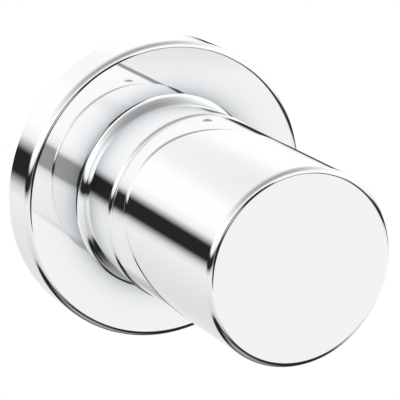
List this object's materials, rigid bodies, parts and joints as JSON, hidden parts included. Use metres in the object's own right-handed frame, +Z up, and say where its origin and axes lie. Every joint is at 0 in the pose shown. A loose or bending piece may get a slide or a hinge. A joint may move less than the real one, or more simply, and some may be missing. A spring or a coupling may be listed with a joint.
{
  "type": "concealed stop valve",
  "caption": "Wall-mounted stop valve with round handle, collar and escutcheon over a threaded in-wall body with a quarter-turn ceramic headpart.",
  "frame": {"origin": "on the valve's axis, at the plane of the finished wall, which is the back of the escutcheon", "axes": "-Y out of the wall into the room along the valve's axis, +Z up along the pipe run, +X to the right as seen from the room"},
  "size_m": [0.072, 0.1294, 0.072],
  "materials": {
    "chrome_trim": "polished chrome plating",
    "turned_brass": "fine turned brass",
    "cast_brass": "sand-cast and blasted brass with machined ends",
    "screw_steel": "plain stainless steel",
    "black_rubber": "moulded rubber",
    "pale_plastic": "moulded acetal",
    "grey_plastic": "small moulded plug",
    "white_slip_plastic": "slippery plastic washer",
    "ceramic": "lapped alumina ceramic"
  },
  "bodies": {
    "valve": {"valve_body": "cast_brass", "seat_seal": "black_rubber", "lower_disc": "ceramic", "headpart_body": "turned_brass", "headpart_seal": "black_rubber", "thrust_washer": "white_slip_plastic", "neck_sleeve": "turned_brass", "sleeve_seal": "black_rubber", "escutcheon": "chrome_trim", "escutcheon_gasket": "black_rubber", "collar": "chrome_trim", "collar_seal": "black_rubber", "guide_ring": "pale_plastic"},
    "handle": {"handle_shell": "chrome_trim", "key_hole_plug": "grey_plastic", "handle_insert": "pale_plastic", "grub_screw": "screw_steel", "spindle_extension": "turned_brass", "extension_screw": "screw_steel", "screw_washer": "screw_steel", "spindle": "turned_brass", "spindle_seals": "black_rubber", "stop_washer": "turned_brass", "spindle_clip": "screw_steel", "upper_disc": "ceramic"}
  },
  "joints": [
    {"name": "handle_turn", "type": "hinge", "parent": "valve", "child": "handle", "pos_m": [0, 0, 0], "axis": [0, -1, 0], "range_deg": [0, 90]}
  ]
}
